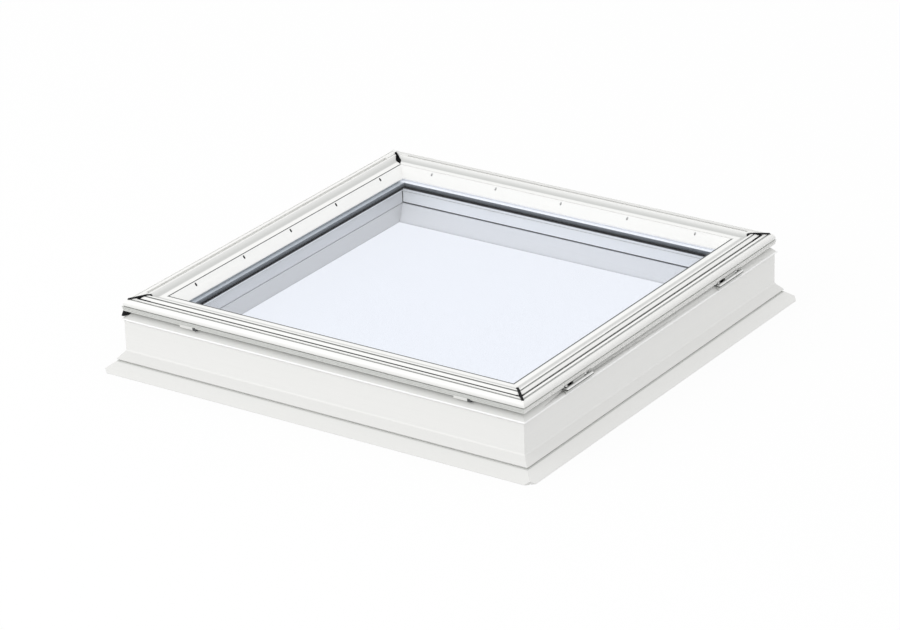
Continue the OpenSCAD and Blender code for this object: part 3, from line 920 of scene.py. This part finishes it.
@dataclass
class Camera:
    """The photograph's view, as fitted to its lines.

    offset_m says how far the camera stands back from the target, and how far it is moved sideways and up
    across that view.
    """

    azimuth_deg: float = 34.379
    elevation_deg: float = 23.778
    roll_deg: float = -1.606
    target_m: tuple[float, float, float] = (0.0, 0.0, 0.124)
    offset_m: tuple[float, float, float] = (9.51225, -0.011253, -0.067386)
    lens_mm: float = 162.2956
    sensor_mm: float = 36.0
    reach_m: float = 100.0

    def build(self) -> None:
        """Makes the camera and sets it as the scene's."""
        azimuth, elevation, roll = (
            math.radians(angle) for angle in (self.azimuth_deg, self.elevation_deg, self.roll_deg)
        )
        level_share = math.cos(elevation)
        back = Vector(
            (math.sin(azimuth) * level_share, -math.cos(azimuth) * level_share, math.sin(elevation))
        )
        level = Vector((math.cos(azimuth), math.sin(azimuth), 0))
        rise = back.cross(level)
        right = math.cos(roll) * level + math.sin(roll) * rise
        up = math.cos(roll) * rise - math.sin(roll) * level
        away, across, above = self.offset_m
        place = Vector(self.target_m) + away * back + across * level + above * rise
        data = bpy.data.cameras.new("camera")
        data.lens = self.lens_mm
        data.sensor_width = self.sensor_mm
        data.clip_end = self.reach_m
        camera = bpy.data.objects.new("camera", data)
        turn = Matrix((right, up, back)).transposed().to_4x4()
        camera.matrix_world = Matrix.Translation(place) @ turn
        bpy.context.scene.collection.objects.link(camera)
        bpy.context.scene.camera = camera


@dataclass
class Studio:
    """White sweep, a soft key light from the front and a little from the left, and an even fill."""

    white: str = "ffffff"
    white_strength: float = 1.0
    paper: str = "f4f4f4"
    floor_m: float = 60.0
    floor_drop_mm: float = 0.1
    fill: float = 0.98
    key_watts: float = 115.0
    key_size_m: float = 5.0
    key_from_m: tuple[float, float, float] = (-2.4, -6.0, 3.6)
    glow_share: float = 0.9
    bounce: float = 0.56
    room_glow: float = 1.05
    room_half_m: float = 0.5

    def build(self) -> None:
        """Makes the world, the floor and the key light."""
        self.make_world()
        self.make_floor()
        self.make_key()

    @staticmethod
    def seen_directly(tree: Tree) -> Socket:
        """Tells rays that see a surface from rays that only carry its light.

        Args:
            tree: Node tree that gets the nodes.

        Returns:
            Socket that is 1 for camera, mirror and see-through rays and 0 for the others.
        """
        path = add_node(tree, "ShaderNodeLightPath")
        mirrored = add_node(
            tree,
            "ShaderNodeMath",
            links={0: path.outputs["Is Camera Ray"], 1: path.outputs["Is Glossy Ray"]},
            operation="MAXIMUM",
        )
        return add_node(
            tree,
            "ShaderNodeMath",
            links={0: mirrored.outputs["Value"], 1: path.outputs["Is Transmission Ray"]},
            operation="MAXIMUM",
        ).outputs["Value"]

    def make_world(self) -> None:
        """Makes a world that looks white and lights evenly."""
        world = bpy.data.worlds.new("white_studio")
        world.use_nodes = True
        bpy.context.scene.world = world
        tree = world.node_tree
        tree.nodes.clear()
        white = linear(self.white)
        fill = add_node(tree, "ShaderNodeBackground", {"Color": white, "Strength": self.fill})
        seen = add_node(tree, "ShaderNodeBackground", {"Color": white, "Strength": self.white_strength})
        mixed = add_node(
            tree,
            "ShaderNodeMixShader",
            links={
                0: self.seen_directly(tree),
                1: fill.outputs["Background"],
                2: seen.outputs["Background"],
            },
        )
        add_node(tree, "ShaderNodeOutputWorld", links={"Surface": mixed.outputs["Shader"]})

    def make_floor(self) -> None:
        """Makes a back-lit floor of white paper, which keeps a faint shadow and throws less light back."""
        half = self.floor_m / 2
        mesh = bpy.data.meshes.new("floor")
        corners = [(-half, -half, 0), (half, -half, 0), (half, half, 0), (-half, half, 0)]
        mesh.from_pydata(corners, [], [(0, 1, 2, 3)])
        floor = bpy.data.objects.new("floor", mesh)
        floor.location.z = -self.floor_drop_mm * MM
        bpy.context.scene.collection.objects.link(floor)
        material, tree, surface = new_material("white_paper_sweep")
        white = linear(self.white)
        paper = add_node(tree, "ShaderNodeBsdfDiffuse", {"Color": linear(self.paper)})
        glow = add_node(tree, "ShaderNodeEmission", {"Color": white, "Strength": self.white_strength})
        lit = add_node(
            tree,
            "ShaderNodeMixShader",
            {0: self.glow_share},
            {1: paper.outputs["BSDF"], 2: glow.outputs["Emission"]},
        )
        # Under the opening the floor stands for a bright room
        place = add_node(tree, "ShaderNodeTexCoord").outputs["Object"]
        outwards = add_node(tree, "ShaderNodeVectorMath", links={0: place}, operation="ABSOLUTE")
        axes = add_node(tree, "ShaderNodeSeparateXYZ", links={"Vector": outwards.outputs["Vector"]})
        farthest = add_node(
            tree, "ShaderNodeMath", links={0: axes.outputs["X"], 1: axes.outputs["Y"]}, operation="MAXIMUM"
        )
        room = add_node(
            tree,
            "ShaderNodeMath",
            {1: self.room_half_m},
            {0: farthest.outputs["Value"]},
            operation="LESS_THAN",
        )
        strength = add_node(
            tree,
            "ShaderNodeMapRange",
            {"To Min": self.bounce, "To Max": self.room_glow},
            {"Value": room.outputs["Value"]},
        )
        bounce = add_node(
            tree, "ShaderNodeEmission", {"Color": white}, {"Strength": strength.outputs["Result"]}
        )
        mixed = add_node(
            tree,
            "ShaderNodeMixShader",
            links={
                0: self.seen_directly(tree),
                1: bounce.outputs["Emission"],
                2: lit.outputs["Shader"],
            },
        )
        tree.links.new(mixed.outputs["Shader"], surface)
        mesh.materials.append(material)

    def make_key(self) -> None:
        """Makes the soft key light."""
        data = bpy.data.lights.new("key", "AREA")
        data.shape = "DISK"
        data.size = self.key_size_m
        data.energy = self.key_watts
        key = bpy.data.objects.new("key", data)
        place = Vector(self.key_from_m)
        key.location = place
        key.rotation_euler = place.to_track_quat("Z", "Y").to_euler()
        bpy.context.scene.collection.objects.link(key)


def main() -> None:
    """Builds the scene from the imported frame."""
    logging.basicConfig(level=logging.INFO, format="%(name)s: %(message)s")
    for thing in list(bpy.data.objects):
        bpy.data.objects.remove(thing)
    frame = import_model()
    bpy.context.scene.view_settings.view_transform = "Standard"
    Camera().build()
    Studio().build()
    dresser = Dresser(frame["nodes"])
    Kerb().dress(dresser)
    Sash().dress(dresser)
    SealTail().build(dresser)
    bpy.context.view_layer.update()
    LOG.info("%d finishes on %d nodes", len(dresser.made), len(frame["nodes"]))


if __name__ == "__main__":
    main()
